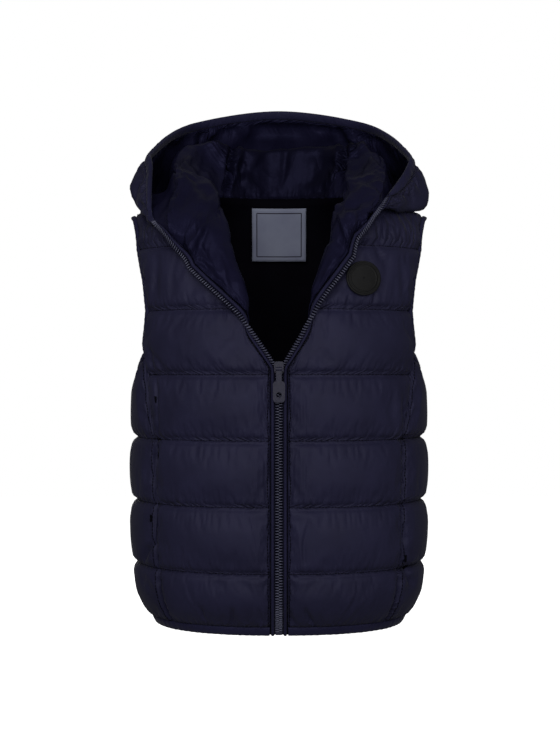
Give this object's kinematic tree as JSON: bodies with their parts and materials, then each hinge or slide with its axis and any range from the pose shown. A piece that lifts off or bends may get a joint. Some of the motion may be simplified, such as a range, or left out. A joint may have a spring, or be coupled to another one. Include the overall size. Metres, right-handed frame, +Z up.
{
  "type": "hooded quilted gilet",
  "caption": "Child's padded sleeveless jacket with a hood lying back, horizontal quilting and an open-top zip with turned-out lapels, in worn form.",
  "frame": {"origin": "between the shoulders, where the wearer carries it, level with the shoulder tips", "axes": "+X to the wearer's left, +Y to the back, +Z up"},
  "size_m": [0.2964, 0.2586, 0.5337],
  "materials": {
    "navy_shell": "light nylon with a soft sheen over padding",
    "navy_binding": "narrow elastic binding",
    "black_lining": "smooth polyester lining",
    "grey_label": "woven label",
    "black_rubber": "matt moulded rubber",
    "navy_tape": "woven zip tape",
    "navy_plastic": "satin moulded plastic"
  },
  "bodies": {
    "garment": {"front_left": "navy_shell", "front_right": "navy_shell", "back": "navy_shell", "lining_back": "black_lining", "label": "grey_label", "hood_side_left": "navy_shell", "hood_side_right": "navy_shell", "hood_centre": "navy_shell", "hood_edge_band": "navy_binding", "facing_left": "navy_shell", "facing_right": "navy_shell", "zip_tape_left": "navy_tape", "zip_tape_right": "navy_tape", "zip_teeth_left": "navy_plastic", "zip_teeth_right": "navy_plastic", "hem_binding": "navy_binding", "armhole_binding_left": "navy_binding", "armhole_binding_right": "navy_binding", "badge": "black_rubber", "zip_box": "navy_plastic", "zip_slider": "navy_plastic"},
    "pull": {"zip_pull": "navy_plastic"}
  },
  "joints": [
    {"name": "zip_pull_swing", "type": "hinge", "parent": "garment", "child": "pull", "pos_m": [0, -0.0993, -0.1475], "axis": [-1, 0, 0], "range_deg": [0, 150]}
  ]
}
